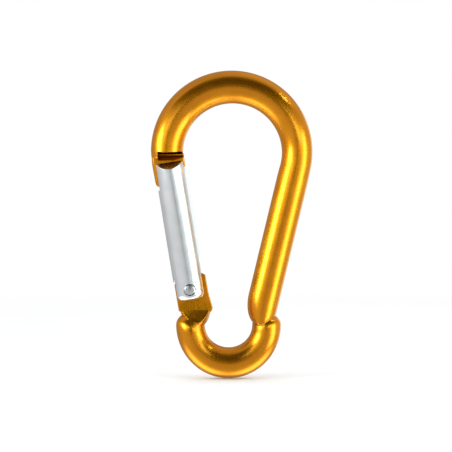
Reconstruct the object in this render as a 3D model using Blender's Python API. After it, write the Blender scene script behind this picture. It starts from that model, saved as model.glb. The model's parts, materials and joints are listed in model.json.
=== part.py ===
"""Pear-shaped snap hook of 6 mm bar, 60 mm long, with a small eye and a sprung latch.

The hook lies in the XZ plane: +Z runs from the eye to the hook bend, +X from the latch to the
back arm, and Y across the bar. The origin is the centre of the whole hook's box. Latch shapes are
drawn in the latch's own frame: t across it (towards the inside of the hook), s along it from the
pivot to the nose, and y across the hook.
"""

import math

import bmesh
import bpy
from mathutils import Matrix, Vector

MM = 0.001

# Bar
BAR_SIDES = 32
BAR_HALF_Y = 3.0           # half thickness across the hook, the same all along the bar
BEND_CENTRE = (0.04, 14.10)
BEND_RADIUS = 12.70        # centreline of the hook bend
BEND_HALF = 3.05           # in-plane half width of the bar, averaged over the ends of the bend
BEND_TAPER = 0.07          # how much wider the nose end is than that, and the arm end narrower
BEND_SWELL = 0.15          # extra half width at the crown, where the bar was pressed
BEND_STEPS = 30
ARM_LEAN = math.radians(13.57)
ARM_HALF = 3.05
ARM_TIP_Z = -19.62
ARM_DOME = 5.65            # length over which the inner side of the arm's lower end rounds off
ARM_OUTER_DOME = 4.00      # and its outer side, which stays full until nearer the tip
BLUNTNESS = 0.2            # power that keeps a pressed end thick across the hook until near its tip

# Eye
EYE_CENTRE = (-0.65, -19.55)
EYE_RADIUS = 7.42
EYE_HALF = 2.80
EYE_SWELL = 0.215
EYE_HALF_Y = 2.88
EYE_END = (2.35, 2.20)     # how far the latch-side and arm-side ends reach above the centre
EYE_THINNING = ((-21.6, 4.85), (-20.9, 4.15))  # where each end starts to thin, over what length
EYE_STEPS = 24

# Latch frame
PIVOT = (-8.16, -12.66)
LATCH_LEAN = math.radians(9.3)

# Pivot tongue and the round neck under it
NECK_T = 0.45
NECK_HALF = 3.10
NECK_TOP_S = -2.6
NECK_DOME_S = -2.79
NECK_DOME = 4.83
NECK_BLUNTNESS = 0.4
TONGUE_HALF_Y = 1.35
TONGUE_OUTER_T = -2.82
TONGUE_OUTER_TOP_S = 1.45
TONGUE_CORNER = (3.30, 2.42)
RAMP_TOP_Z = -16.60        # where the milled flats end
RAMP_FOOT_Z = -18.95       # where the ramp runs out on the round bar
RAMP_FOOT_Y = 2.37

# Nose tongue
NOSE_HALF_Y = 1.30
NOSE_CORNER = (2.70, 23.72)
NOSE_TIP = (-3.02, 20.80)
GROOVE_DEPTH = 0.50
BAR_END_RISE = 0.15        # the nose end of the bar is trimmed to a shallow curve
BAR_END_DIP = 0.30
SHOULDER_X = -14.42        # the grooves stop here and leave the round bar on the outer side
SHOULDER_FOOT_Z = 12.05
SHOULDER_DOME = 1.25
UPPER_GROOVE_Z = (14.15, 13.62)
UPPER_GROOVE_X = -14.50
LOWER_GROOVE_TOP_Z = 13.50
LOWER_GROOVE_FOOT_S = 25.70
GROOVE_END_T = -1.80

# Latch
LATCH_RADIUS = 3.0
LATCH_SIDES = 40
LATCH_BOTTOM_S = -2.25
LATCH_TOP_S = 25.06
BOTTOM_ROUNDING = 1.50
TOP_ROUNDING = 0.45
BEVEL_FOOT_S = 23.63
SLOT_HALF_Y = 1.42
CUTTER_SAGITTA = 0.75      # how far the round saw bites beyond the straight line of a slot's end
UPPER_SLOT = ((-3.0, 19.90), (3.0, 23.50))
LOWER_SLOT = ((-3.0, 1.70), (3.0, 5.25))
BORE_RADIUS = 1.25
BORE_END_S = 17.0

# Rivet
RIVET_RADIUS = 1.10
RIVET_CLEARANCE = 0.06
RIVET_EDGE_Y = 2.72
RIVET_DOME = 0.26
RIVET_SIDES = 36

# Spring plunger and its cam on the pivot tongue
PLUNGER_RADIUS = 1.15
PLUNGER_SIDES = 20
PLUNGER_TIP_S = 2.45
PLUNGER_SHOULDER_S = 5.60
PLUNGER_STEM_RADIUS = 0.50
PLUNGER_STEM_END_S = 9.0
CAM_RISE = 2.0             # plunger travel in mm for each radian that the latch opens
CAM_GAP = 0.05
OPEN_ANGLE = math.radians(40.0)

# Spring
SPRING_RADIUS = 0.90
SPRING_WIRE = 0.17
SPRING_TURNS = 13
SPRING_GAP = 0.05
STEPS_PER_TURN = 14
WIRE_SIDES = 6

GOLD = (0.50, 0.20, 0.012, 1.0)
POLISHED = (0.78, 0.79, 0.80, 1.0)
RIVET_GREY = (0.55, 0.56, 0.58, 1.0)
SPRING_GREY = (0.42, 0.42, 0.43, 1.0)


# ---------------------------------------------------------------------------- helpers
def clear_scene():
    for obj in list(bpy.data.objects):
        bpy.data.objects.remove(obj)


def metal(name, colour, roughness):
    material = bpy.data.materials.new(name)
    material.use_nodes = True
    shader = material.node_tree.nodes["Principled BSDF"]
    shader.inputs["Base Color"].default_value = colour
    shader.inputs["Metallic"].default_value = 1.0
    shader.inputs["Roughness"].default_value = roughness
    return material


def mesh_object(name, points, faces, smooth=True):
    """A closed mesh from points in mm, with its normals facing out."""
    mesh = bpy.data.meshes.new(name)
    mesh.from_pydata([Vector(p) * MM for p in points], [], faces)
    shape = bmesh.new()
    shape.from_mesh(mesh)
    bmesh.ops.recalc_face_normals(shape, faces=shape.faces)
    for face in shape.faces:
        face.smooth = smooth
    shape.to_mesh(mesh)
    shape.free()
    obj = bpy.data.objects.new(name, mesh)
    bpy.context.scene.collection.objects.link(obj)
    return obj


def loft(name, rings, start_tip=None, end_tip=None, smooth=True):
    """Joins rings of points into one closed skin. An end closes on its tip, or on a flat cap."""
    count = len(rings[0])
    points = [p for ring in rings for p in ring]
    faces = []
    for i in range(len(rings) - 1):
        for k in range(count):
            nxt = (k + 1) % count
            faces.append((i * count + k, i * count + nxt,
                          (i + 1) * count + nxt, (i + 1) * count + k))
    for tip, ring_start in ((start_tip, 0), (end_tip, (len(rings) - 1) * count)):
        ids = [ring_start + k for k in range(count)]
        if tip is None:
            faces.append(tuple(ids))
            continue
        points.append(tip)
        faces += [(ids[k], ids[(k + 1) % count], len(points) - 1) for k in range(count)]
    return mesh_object(name, points, faces, smooth)


def bar_ring(centre, across, half, half_y):
    """One section of bar: an ellipse whose flat facets face +Y and -Y."""
    step = 2 * math.pi / BAR_SIDES
    stretch = 1 / math.cos(step / 2)
    ring = []
    for k in range(BAR_SIDES):
        angle = (k + 0.5) * step
        in_plane = half * stretch * math.cos(angle)
        ring.append((centre[0] + across[0] * in_plane,
                     half_y * stretch * math.sin(angle),
                     centre[1] + across[1] * in_plane))
    return ring


def dome_shares(steps):
    """(share of the dome's length, share of its radius) from where it starts to just before its tip."""
    shares = []
    for i in range(1, steps):
        angle = 0.5 * math.pi * i / steps
        shares.append((math.sin(angle), math.cos(angle)))
    return shares


def rod(name, stations, sides, turn=0.0):
    """A turned part on the latch's axis: stations are (s, radius), and radius 0 closes an end."""
    tips = [None, None]
    stations = list(stations)
    if stations[0][1] == 0:
        tips[0] = latch_point(0, 0, stations.pop(0)[0])
    if stations[-1][1] == 0:
        tips[1] = latch_point(0, 0, stations.pop()[0])
    rings = []
    for s, radius in stations:
        angles = [2 * math.pi * (k + turn) / sides for k in range(sides)]
        rings.append([latch_point(radius * math.cos(a), radius * math.sin(a), s) for a in angles])
    return loft(name, rings, *tips)


def cross_pin(name, stations, sides):
    """A round part through the pivot along Y: stations are (y, radius)."""
    tips = [None, None]
    stations = list(stations)
    if stations[0][1] == 0:
        tips[0] = (PIVOT[0], stations.pop(0)[0], PIVOT[1])
    if stations[-1][1] == 0:
        tips[1] = (PIVOT[0], stations.pop()[0], PIVOT[1])
    rings = []
    for y, radius in stations:
        angles = [2 * math.pi * k / sides for k in range(sides)]
        rings.append([(PIVOT[0] + radius * math.cos(a), y, PIVOT[1] + radius * math.sin(a))
                      for a in angles])
    return loft(name, rings, *tips)


def latch_point(t, y, s):
    c, n = math.cos(LATCH_LEAN), math.sin(LATCH_LEAN)
    return (PIVOT[0] + t * c - s * n, y, PIVOT[1] + t * n + s * c)


def latch_plate(name, outline, half_y):
    """A plate of the given (t, s) outline, half_y to each side of the hook's middle plane."""
    rings = [[latch_point(t, y, s) for t, s in outline] for y in (-half_y, half_y)]
    return loft(name, rings, smooth=False)


def prism(name, first, last):
    """The solid between two matching outlines of (x, y, z) points."""
    return loft(name, [first, last], smooth=False)


def boolean(target, other, operation):
    modifier = target.modifiers.new(operation.lower(), "BOOLEAN")
    modifier.operation = operation
    modifier.solver = "EXACT"
    modifier.object = other
    graph = bpy.context.evaluated_depsgraph_get()
    mesh = bpy.data.meshes.new_from_object(target.evaluated_get(graph))
    target.modifiers.clear()
    target.data = mesh
    bpy.data.objects.remove(other)


def join(target, *others):
    for other in others:
        boolean(target, other, "UNION")


def cut(target, *others):
    for other in others:
        boolean(target, other, "DIFFERENCE")


def set_origin(obj, point):
    """Moves the object's origin to a point given in mm, leaving its mesh where it is."""
    shift = Vector(point) * MM
    obj.data.transform(Matrix.Translation(-shift))
    obj.location = shift


def finish(obj, material, origin, sharp_degrees=32):
    obj.data.materials.clear()
    obj.data.materials.append(material)
    shape = bmesh.new()
    shape.from_mesh(obj.data)
    bmesh.ops.dissolve_degenerate(shape, dist=2e-7, edges=shape.edges)
    limit = math.radians(sharp_degrees)
    for face in shape.faces:
        face.smooth = True
    for edge in shape.edges:
        edge.smooth = edge.calc_face_angle(0.0) < limit
    shape.to_mesh(obj.data)
    shape.free()
    set_origin(obj, origin)


# ---------------------------------------------------------------------------- hook body
def bend_and_arm():
    """The hook bend from the nose over the crown, and the straight back arm with its rounded end."""
    cx, cz = BEND_CENTRE
    end = -ARM_LEAN
    rings = []
    for i in range(BEND_STEPS + 1):
        angle = math.pi + (end - math.pi) * i / BEND_STEPS
        out = (math.cos(angle), math.sin(angle))
        half = BEND_HALF - BEND_TAPER * out[0] + BEND_SWELL * max(0.0, out[1])
        centre = (cx + BEND_RADIUS * out[0], cz + BEND_RADIUS * out[1])
        rings.append(bar_ring(centre, out, half, BAR_HALF_Y))
    rings[0] = [(x, y, z + BAR_END_RISE - BAR_END_DIP * (y / BAR_HALF_Y) ** 2)
                for x, y, z in rings[0]]
    nose_end = (cx - BEND_RADIUS, 0.0, cz + BAR_END_RISE)
    out = (math.cos(end), math.sin(end))
    down = (-math.sin(ARM_LEAN), -math.cos(ARM_LEAN))
    top = (cx + BEND_RADIUS * out[0], cz + BEND_RADIUS * out[1])
    length = (top[1] - ARM_TIP_Z) / math.cos(ARM_LEAN)
    straight = length - ARM_DOME
    stations = [(straight * 0.5, 1.0, 1.0), (straight, 1.0, 1.0)]
    for share, inner in dome_shares(9):
        past = max(0.0, 1 - (1 - share) * ARM_DOME / ARM_OUTER_DOME)
        stations.append((straight + ARM_DOME * share, inner, (1 - past ** 3) ** (1 / 3)))
    for along, inner, outer in stations:
        shift = ARM_HALF * (outer - inner) / 2
        centre = (top[0] + down[0] * along + out[0] * shift,
                  top[1] + down[1] * along + out[1] * shift)
        rings.append(bar_ring(centre, out, ARM_HALF * (inner + outer) / 2,
                              BAR_HALF_Y * outer ** BLUNTNESS))
    tip = (top[0] + down[0] * length, 0.0, top[1] + down[1] * length)
    return loft("hook_body", rings, start_tip=nose_end, end_tip=tip)


def eye_half_y(z, end):
    """Half thickness of the eye across the hook: its two ends were pressed thinner."""
    start, length = EYE_THINNING[end]
    past = max(0.0, z - start) / length
    return EYE_HALF_Y * math.sqrt(1 - past * past)


def eye():
    """The lower half ring of the eye, with a ball at each end."""
    cx, cz = EYE_CENTRE
    stations = [(math.pi, EYE_END[0] * along, share, 0) for along, share in reversed(dome_shares(7))]
    stations += [(math.pi * (1 + i / EYE_STEPS), 0.0, 1.0, 0 if 2 * i < EYE_STEPS else 1)
                 for i in range(EYE_STEPS + 1)]
    stations += [(2 * math.pi, EYE_END[1] * along, share, 1) for along, share in dome_shares(7)]
    rings = []
    for angle, rise, share, end in stations:
        out = (math.cos(angle), math.sin(angle))
        half = (EYE_HALF + EYE_SWELL * math.sin(angle) ** 2) * share
        centre = (cx + EYE_RADIUS * out[0], cz + EYE_RADIUS * out[1] + rise)
        rings.append(bar_ring(centre, out, half, eye_half_y(centre[1], end) * share ** BLUNTNESS))
    start = (cx - EYE_RADIUS, 0.0, cz + EYE_END[0])
    end = (cx + EYE_RADIUS, 0.0, cz + EYE_END[1])
    return loft("eye", rings, start_tip=start, end_tip=end)


def neck():
    """The round bar under the pivot tongue, rounded off where it runs into the eye."""
    across = (math.cos(LATCH_LEAN), math.sin(LATCH_LEAN))
    stations = [(NECK_TOP_S, 1.0), (NECK_DOME_S, 1.0)]
    stations += [(NECK_DOME_S - NECK_DOME * along, share) for along, share in dome_shares(9)]
    rings = []
    for s, share in stations:
        x, _, z = latch_point(NECK_T, 0, s)
        half_y = BAR_HALF_Y * 0.985 * share ** NECK_BLUNTNESS
        rings.append(bar_ring((x, z), across, NECK_HALF * share, half_y))
    return loft("neck", rings, end_tip=latch_point(NECK_T, 0, NECK_DOME_S - NECK_DOME))


def flat_and_ramp(side):
    """What the mill takes off one side of the neck: the flat, and the ramp that it runs out on."""
    inner = TONGUE_HALF_Y - 0.03
    far = 8.0
    slope = (RAMP_TOP_Z - RAMP_FOOT_Z) / (RAMP_FOOT_Y - TONGUE_HALF_Y)
    outline = [(inner, 0.0), (far, 0.0), (far, RAMP_TOP_Z - slope * (far - inner)), (inner, RAMP_TOP_Z)]
    ends = [[(x, side * y, z) for y, z in outline] for x in (-16.0, 0.5)]
    return prism("mill", *ends)


def cam_outline():
    """The top of the pivot tongue, from the outer side to the inner corner.

    The plunger's round tip rises CAM_RISE for each radian, so its centre follows a spiral about
    the pivot, and the cam lies one tip radius inside that spiral."""
    points = [(TONGUE_OUTER_T, TONGUE_OUTER_TOP_S), (-0.35, 2.06)]
    steps = 10
    rest = PLUNGER_TIP_S + PLUNGER_RADIUS
    for i in range(steps + 1):
        angle = (OPEN_ANGLE + math.radians(1.0)) * i / steps
        reach = rest + CAM_RISE * angle
        t, s = reach * math.sin(angle), reach * math.cos(angle)
        run_t = reach * math.cos(angle) + CAM_RISE * math.sin(angle)
        run_s = -reach * math.sin(angle) + CAM_RISE * math.cos(angle)
        length = math.hypot(run_t, run_s)
        inset = PLUNGER_RADIUS + CAM_GAP
        points.append((t + inset * run_s / length, s - inset * run_t / length))
    points.append(TONGUE_CORNER)
    return points


def pivot_tongue():
    outline = cam_outline()
    outline += [
        (3.40, 2.10),
        (3.42, -1.10),
        (3.60, -2.76),
        (3.77, -4.00),
        (3.74, -4.45),
        (3.45, -4.85),
        (2.20, -5.20),
        (-1.20, -4.60),
        (-2.45, -4.10),
        (-2.80, -3.75),
    ]
    return latch_plate("pivot_tongue", outline, TONGUE_HALF_Y)


def nose_tongue():
    outline = [
        (NOSE_CORNER[0], NOSE_CORNER[1]),
        (2.94, 23.95),
        (3.02, 24.30),
        (2.98, 25.60),
        (3.06, 26.30),
        (2.85, 26.75),
        (2.10, 27.60),
        (-1.50, 28.40),
        (-2.70, 27.20),
        (-3.15, 26.60),
        (-3.32, 26.00),
        (-3.38, 25.20),
        (-3.37, 24.00),
        (-3.31, 22.00),
        (-3.22, 21.15),
        (NOSE_TIP[0], NOSE_TIP[1]),
        (-2.75, 20.72),
    ]
    return latch_plate("nose_tongue", outline, NOSE_HALF_Y)


def upper_groove(side):
    """The step under the end of the round bar, whose floor slopes out towards the latch."""
    top, foot = UPPER_GROOVE_Z
    deep = NOSE_HALF_Y - GROOVE_DEPTH
    slope = (top - foot) / GROOVE_DEPTH
    far = NOSE_HALF_Y + 0.6
    outline = [(deep, top), (far, top), (far, foot - slope * 0.6)]
    ends = [[(x, side * y, z) for y, z in outline] for x in (UPPER_GROOVE_X, -7.5)]
    return prism("upper_groove", *ends)


def lower_groove(side):
    """The wedge-shaped catch groove, open to the inside and closed near the outer edge."""
    deep = side * (NOSE_HALF_Y - GROOVE_DEPTH)
    out = side * (NOSE_HALF_Y + 0.5)
    ends = []
    for t in (GROOVE_END_T, 4.0):
        foot = latch_point(t, 0, LOWER_GROOVE_FOOT_S)
        rise = (LOWER_GROOVE_TOP_Z - foot[2]) / math.cos(LATCH_LEAN)
        top_s = LOWER_GROOVE_FOOT_S + rise
        root_s = LOWER_GROOVE_FOOT_S + rise * 0.86
        ends.append([
            latch_point(t, deep, root_s),
            latch_point(t, out, 2 * top_s - root_s),
            latch_point(t, out, 2 * LOWER_GROOVE_FOOT_S - root_s),
        ])
    return loft("lower_groove", ends, smooth=False)


def shoulder():
    """The outer side of the bar, which runs on below the milled step and ends in a round corner."""
    half = BEND_HALF + BEND_TAPER - 0.02
    start = SHOULDER_FOOT_Z + SHOULDER_DOME
    stations = [(BEND_CENTRE[1] + BAR_END_RISE + 0.3, 1.0)]
    stations += [(start - SHOULDER_DOME * along, share)
                 for along, share in [(0.0, 1.0)] + dome_shares(6)]
    rings = []
    for z, share in stations:
        x = BEND_CENTRE[0] - BEND_RADIUS + 0.06 * (BEND_CENTRE[1] - z)
        rings.append(bar_ring((x, z), (-1.0, 0.0), half * share, (BAR_HALF_Y - 0.02) * share))
    skin = loft("shoulder", rings)
    low, high = 8.0, 18.0
    corners = [(SHOULDER_X, -4.0), (-6.0, -4.0), (-6.0, 4.0), (SHOULDER_X, 4.0)]
    cut(skin, prism("wall", *[[(x, y, z) for x, y in corners] for z in (low, high)]))
    return skin


def make_hook_body(material):
    body = bend_and_arm()
    lower = eye()
    join(lower, neck())
    cut(lower, flat_and_ramp(-1), flat_and_ramp(1))
    join(lower, pivot_tongue())
    join(body, lower, nose_tongue())
    for side in (-1, 1):
        cut(body, upper_groove(side), lower_groove(side))
    join(body, shoulder())
    hole = RIVET_RADIUS + RIVET_CLEARANCE
    cut(body, cross_pin("hole", [(-5.0, hole), (5.0, hole)], RIVET_SIDES))
    finish(body, material, (0.0, 0.0, 0.0))
    return body


# ---------------------------------------------------------------------------- latch
def saw_arc(first, last, sagitta, steps=10):
    """Points on the round end that a disc saw leaves between two (t, s) points."""
    (t0, s0), (t1, s1) = first, last
    chord = math.hypot(t1 - t0, s1 - s0)
    across = ((s0 - s1) / chord, (t1 - t0) / chord)
    points = []
    for i in range(steps + 1):
        share = i / steps
        bulge = 4 * sagitta * share * (1 - share)
        points.append((t0 + (t1 - t0) * share + across[0] * bulge,
                       s0 + (s1 - s0) * share + across[1] * bulge))
    return points


def slot_cutter(name, ends, sagitta, open_s):
    """A saw slot from its round end out through the rod's end at open_s."""
    (t0, s0), (t1, s1) = ends
    slope = (s1 - s0) / (t1 - t0)
    outline = saw_arc(*ends, sagitta)
    outline += [(t1 + 1.5, s1 + 1.5 * slope), (t1 + 1.5, open_s), (t0 - 1.5, open_s),
                (t0 - 1.5, s0 - 1.5 * slope)]
    return latch_plate(name, outline, SLOT_HALF_Y)


def bevel_cutter(side):
    """The flat bevel on one cheek of the latch's upper end."""
    inner = SLOT_HALF_Y
    slope = (LATCH_TOP_S - BEVEL_FOOT_S) / (LATCH_RADIUS - inner)
    far = 5.0
    outline = [(inner, LATCH_TOP_S), (far, LATCH_TOP_S - slope * (far - inner)), (far, LATCH_TOP_S + 3),
               (inner - 0.6, LATCH_TOP_S + 0.6 * slope)]
    ends = [[latch_point(t, side * y, s) for y, s in outline] for t in (-5.0, 5.0)]
    return prism("bevel", *ends)


def make_gate(material):
    bottom = LATCH_BOTTOM_S
    stations = []
    for i in range(6):
        angle = 0.5 * math.pi * (1 - i / 5)
        stations.append((bottom + BOTTOM_ROUNDING * (1 - math.sin(angle)),
                         LATCH_RADIUS - BOTTOM_ROUNDING * (1 - math.cos(angle))))
    for i in range(4):
        angle = 0.5 * math.pi * i / 3
        stations.append((LATCH_TOP_S - TOP_ROUNDING * (1 - math.sin(angle)),
                         LATCH_RADIUS - TOP_ROUNDING * (1 - math.cos(angle))))
    gate = rod("gate", stations, LATCH_SIDES, turn=0.5)
    cut(gate, bevel_cutter(-1), bevel_cutter(1))
    cut(gate, slot_cutter("upper_slot", UPPER_SLOT, -CUTTER_SAGITTA, LATCH_TOP_S + 3))
    cut(gate, slot_cutter("lower_slot", LOWER_SLOT, CUTTER_SAGITTA, LATCH_BOTTOM_S - 3))
    cut(gate, rod("bore", [(1.5, BORE_RADIUS), (BORE_END_S, BORE_RADIUS), (BORE_END_S + 0.7, 0)], 28))
    hole = RIVET_RADIUS + RIVET_CLEARANCE
    cut(gate, cross_pin("hole", [(-5.0, hole), (5.0, hole)], RIVET_SIDES))
    finish(gate, material, (PIVOT[0], 0.0, PIVOT[1]))
    return gate


def make_rivet(material):
    stations = [(-RIVET_EDGE_Y - RIVET_DOME, 0)]
    for i in range(1, 4):
        angle = 0.5 * math.pi * i / 4
        stations.append((-RIVET_EDGE_Y - RIVET_DOME * math.cos(angle), RIVET_RADIUS * math.sin(angle)))
    stations.append((-RIVET_EDGE_Y, RIVET_RADIUS))
    stations += [(-y, radius) for y, radius in reversed(stations)]
    rivet = cross_pin("pivot_rivet", stations, RIVET_SIDES)
    finish(rivet, material, (PIVOT[0], 0.0, PIVOT[1]))
    return rivet


def make_plunger(material):
    centre = PLUNGER_TIP_S + PLUNGER_RADIUS
    stations = [(PLUNGER_TIP_S, 0)]
    for i in range(1, 6):
        angle = 0.5 * math.pi * i / 6
        stations.append((centre - PLUNGER_RADIUS * math.cos(angle), PLUNGER_RADIUS * math.sin(angle)))
    stations += [
        (centre, PLUNGER_RADIUS),
        (PLUNGER_SHOULDER_S - 0.12, PLUNGER_RADIUS),
        (PLUNGER_SHOULDER_S, PLUNGER_RADIUS - 0.12),
        (PLUNGER_SHOULDER_S, PLUNGER_STEM_RADIUS),
        (PLUNGER_STEM_END_S - 0.1, PLUNGER_STEM_RADIUS),
        (PLUNGER_STEM_END_S, PLUNGER_STEM_RADIUS - 0.1),
    ]
    plunger = rod("spring_plunger", stations, PLUNGER_SIDES)
    finish(plunger, material, latch_point(0, 0, PLUNGER_TIP_S))
    return plunger


def make_spring(material):
    """A coil from the plunger's shoulder to the end of the bore, its end turns wound closer."""
    first = PLUNGER_SHOULDER_S + SPRING_GAP + SPRING_WIRE
    last = BORE_END_S - SPRING_GAP - SPRING_WIRE
    close_turn = 2.3 * SPRING_WIRE
    inner_turns = SPRING_TURNS - 2
    pitch = (last - first - 2 * close_turn) / inner_turns
    rings = []
    for i in range(SPRING_TURNS * STEPS_PER_TURN + 1):
        turns = i / STEPS_PER_TURN
        if turns < 1:
            s, lead = first + close_turn * turns, close_turn
        elif turns > SPRING_TURNS - 1:
            s, lead = last - close_turn * (SPRING_TURNS - turns), close_turn
        else:
            s, lead = first + close_turn + pitch * (turns - 1), pitch
        angle = 2 * math.pi * turns
        tilt = math.atan2(lead, 2 * math.pi * SPRING_RADIUS)
        ring = []
        for k in range(WIRE_SIDES):
            around = 2 * math.pi * (k + 0.5) / WIRE_SIDES
            out = SPRING_WIRE * math.cos(around)
            up = SPRING_WIRE * math.sin(around)
            t = (SPRING_RADIUS + out) * math.cos(angle) + up * math.sin(tilt) * math.sin(angle)
            y = (SPRING_RADIUS + out) * math.sin(angle) - up * math.sin(tilt) * math.cos(angle)
            ring.append(latch_point(t, y, s + up * math.cos(tilt)))
        rings.append(ring)
    spring = loft("gate_spring", rings)
    finish(spring, material, latch_point(0, 0, BORE_END_S))
    return spring


def main():
    clear_scene()
    make_hook_body(metal("gold_anodised", GOLD, 0.28))
    make_gate(metal("polished_aluminium", POLISHED, 0.18))
    make_rivet(metal("rivet_aluminium", RIVET_GREY, 0.35))
    make_plunger(metal("plunger_steel", RIVET_GREY, 0.30))
    make_spring(metal("spring_steel", SPRING_GREY, 0.32))


main()
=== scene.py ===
"""The finished look of the pear-shaped snap hook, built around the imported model.

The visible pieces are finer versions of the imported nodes, with softened edges, a wound spring and
procedural metals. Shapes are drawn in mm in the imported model's frame and scaled to metres when a
mesh is made. Latch shapes use the latch's own frame: t across it (towards the inside of the hook),
s along it from the pivot to the nose, and y across the hook.
"""

import json
import math

import bmesh
import bpy
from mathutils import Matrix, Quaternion, Vector


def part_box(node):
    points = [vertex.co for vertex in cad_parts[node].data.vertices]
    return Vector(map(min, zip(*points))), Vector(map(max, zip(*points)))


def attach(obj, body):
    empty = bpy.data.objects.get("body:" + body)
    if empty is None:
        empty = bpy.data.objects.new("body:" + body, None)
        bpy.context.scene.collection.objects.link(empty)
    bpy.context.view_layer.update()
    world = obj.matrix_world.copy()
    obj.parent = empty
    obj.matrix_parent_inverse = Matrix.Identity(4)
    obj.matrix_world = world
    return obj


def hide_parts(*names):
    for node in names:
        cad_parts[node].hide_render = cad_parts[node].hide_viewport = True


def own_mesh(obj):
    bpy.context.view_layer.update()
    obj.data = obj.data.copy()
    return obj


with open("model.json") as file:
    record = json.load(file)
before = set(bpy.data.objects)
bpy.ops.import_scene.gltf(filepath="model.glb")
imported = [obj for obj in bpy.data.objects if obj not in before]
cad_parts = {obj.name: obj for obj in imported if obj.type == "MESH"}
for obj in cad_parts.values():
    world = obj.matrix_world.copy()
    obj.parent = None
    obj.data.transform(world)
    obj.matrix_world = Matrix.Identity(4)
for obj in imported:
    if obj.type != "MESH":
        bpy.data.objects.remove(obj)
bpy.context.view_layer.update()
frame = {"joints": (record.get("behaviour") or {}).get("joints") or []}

MM = 0.001


def node_box(node):
    low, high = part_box(node)
    return low / MM, high / MM


JOINTS = {joint["name"]: joint for joint in frame["joints"]}
BODY_LOW, BODY_HIGH = node_box("hook_body")
SLIDE_AXIS = JOINTS["plunger_slide"]["axis"]

# Bar
BAR_HALF_Y = BODY_HIGH.y
BEND_RADIUS = 12.70
BEND_HALF = 3.05
BEND_TAPER = 0.07
BEND_SWELL = 0.15
BEND_CENTRE = (BODY_HIGH.x - BEND_RADIUS - BEND_HALF + BEND_TAPER,
               BODY_HIGH.z - BEND_RADIUS - BEND_HALF - BEND_SWELL)
ARM_LEAN = math.radians(13.57)
ARM_HALF = 3.05
ARM_DOME = 5.65               # length over which the arm's end narrows on its inner side
ARM_OUTER_DOME = 4.00         # and on its outer side, which stays full until nearer the tip
BLUNTNESS = 0.2               # power that keeps a pressed end thick until near its tip
CREST_SKEW = 0.035            # how far outwards the bar is thickest, as a share of its half width
NECK_BLUNTNESS = 0.4

# Eye
EYE_RADIUS = 7.42
EYE_HALF = 2.80
EYE_SWELL = 0.215
EYE_HALF_Y = 2.88
EYE_END = (2.35, 2.20)        # reach of the latch-side and arm-side ends above the eye's centre
EYE_THINNING = ((-21.6, 4.85), (-20.9, 4.15))  # where each end starts to thin, over what length
EYE_CENTRE = (BEND_CENTRE[0] - 0.69, BODY_LOW.z + EYE_RADIUS + EYE_HALF + EYE_SWELL)
ARM_TIP_Z = EYE_CENTRE[1] - 0.07

# Latch frame
PIVOT = (JOINTS["gate_hinge"]["pos_m"][0] / MM, JOINTS["gate_hinge"]["pos_m"][2] / MM)
LATCH_LEAN = math.atan2(-SLIDE_AXIS[0], SLIDE_AXIS[2])

# Pivot tongue and neck
NECK_T = 0.45
NECK_HALF = 3.10
NECK_TOP_S = -2.6
NECK_DOME_S = -2.79
NECK_DOME = 4.83
TONGUE_HALF_Y = 1.35
TONGUE_ROUNDING = 0.12
NOSE_RIM = (0.22, 0.22)       # how far in and how deep its rim is rounded over
NOSE_OUTER_RIM = (0.40, 1.28)
NOSE_RIM_CHANGE = (-2.75, -3.20)  # where across the tongue one rim gives way to the other
RAMP_TOP_Z = -16.60
RAMP_FOOT_Z = -18.95
RAMP_FOOT_Y = 2.37

# Nose tongue and its grooves
NOSE_HALF_Y = 1.30
SHOULDER_X = -14.42           # the grooves stop here and leave the round bar on the outer side
SHOULDER_FOOT_Z = 12.05
SHOULDER_DOME = 1.25
SHOULDER_DRIFT = 0.06         # how far it moves inwards for each mm that it runs down
SHOULDER_SINK = 0.02          # keeps its skin just under the skin of the bar above
GROOVE_DEPTH = 0.50
BAR_END_RISE = 0.15           # the nose end of the bar is trimmed to a shallow curve
BAR_END_DIP = 0.30
UPPER_GROOVE_Z = (14.15, 13.62)
UPPER_GROOVE_X = -14.50
LOWER_GROOVE_TOP_Z = 13.50
LOWER_GROOVE_FOOT_S = 25.70
GROOVE_END_T = -2.05

# Latch
LATCH_RADIUS = 3.0
LATCH_BOTTOM_S = -2.25
LATCH_TOP_S = 25.06
BOTTOM_ROUNDING = 1.50
TOP_ROUNDING = 0.45
BEVEL_FOOT_S = 23.63
SLOT_HALF_Y = 1.42
CUTTER_SAGITTA = 0.75
UPPER_SLOT = ((-3.0, 19.90), (3.0, 23.50))
LOWER_SLOT = ((-3.0, 1.70), (3.0, 5.25))
BORE_RADIUS = 1.25
BORE_END_S = 17.0

# Rivet
RIVET_RADIUS = 1.10
RIVET_CLEARANCE = 0.06
RIVET_EDGE_Y = 2.72
RIVET_DOME = 0.26

# Plunger, its cam and the spring
PLUNGER_RADIUS = 1.15
PLUNGER_TIP_S = 2.45
PLUNGER_SHOULDER_S = 5.60
PLUNGER_STEM_RADIUS = 0.50
PLUNGER_STEM_END_S = 9.0
CAM_RISE = 2.0
CAM_GAP = 0.05
OPEN_ANGLE = math.radians(JOINTS["gate_hinge"]["range_deg"][1])
SPRING_RADIUS = 0.90
SPRING_WIRE = 0.17
SPRING_TURNS = 13
SPRING_GAP = 0.05

# Fineness
BAR_SIDES = 96
BEND_STEPS = 110
EYE_STEPS = 80
DOME_STEPS = 26
LATCH_SIDES = 128
PIN_SIDES = 64
WIRE_SIDES = 12
STEPS_PER_TURN = 36


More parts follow.
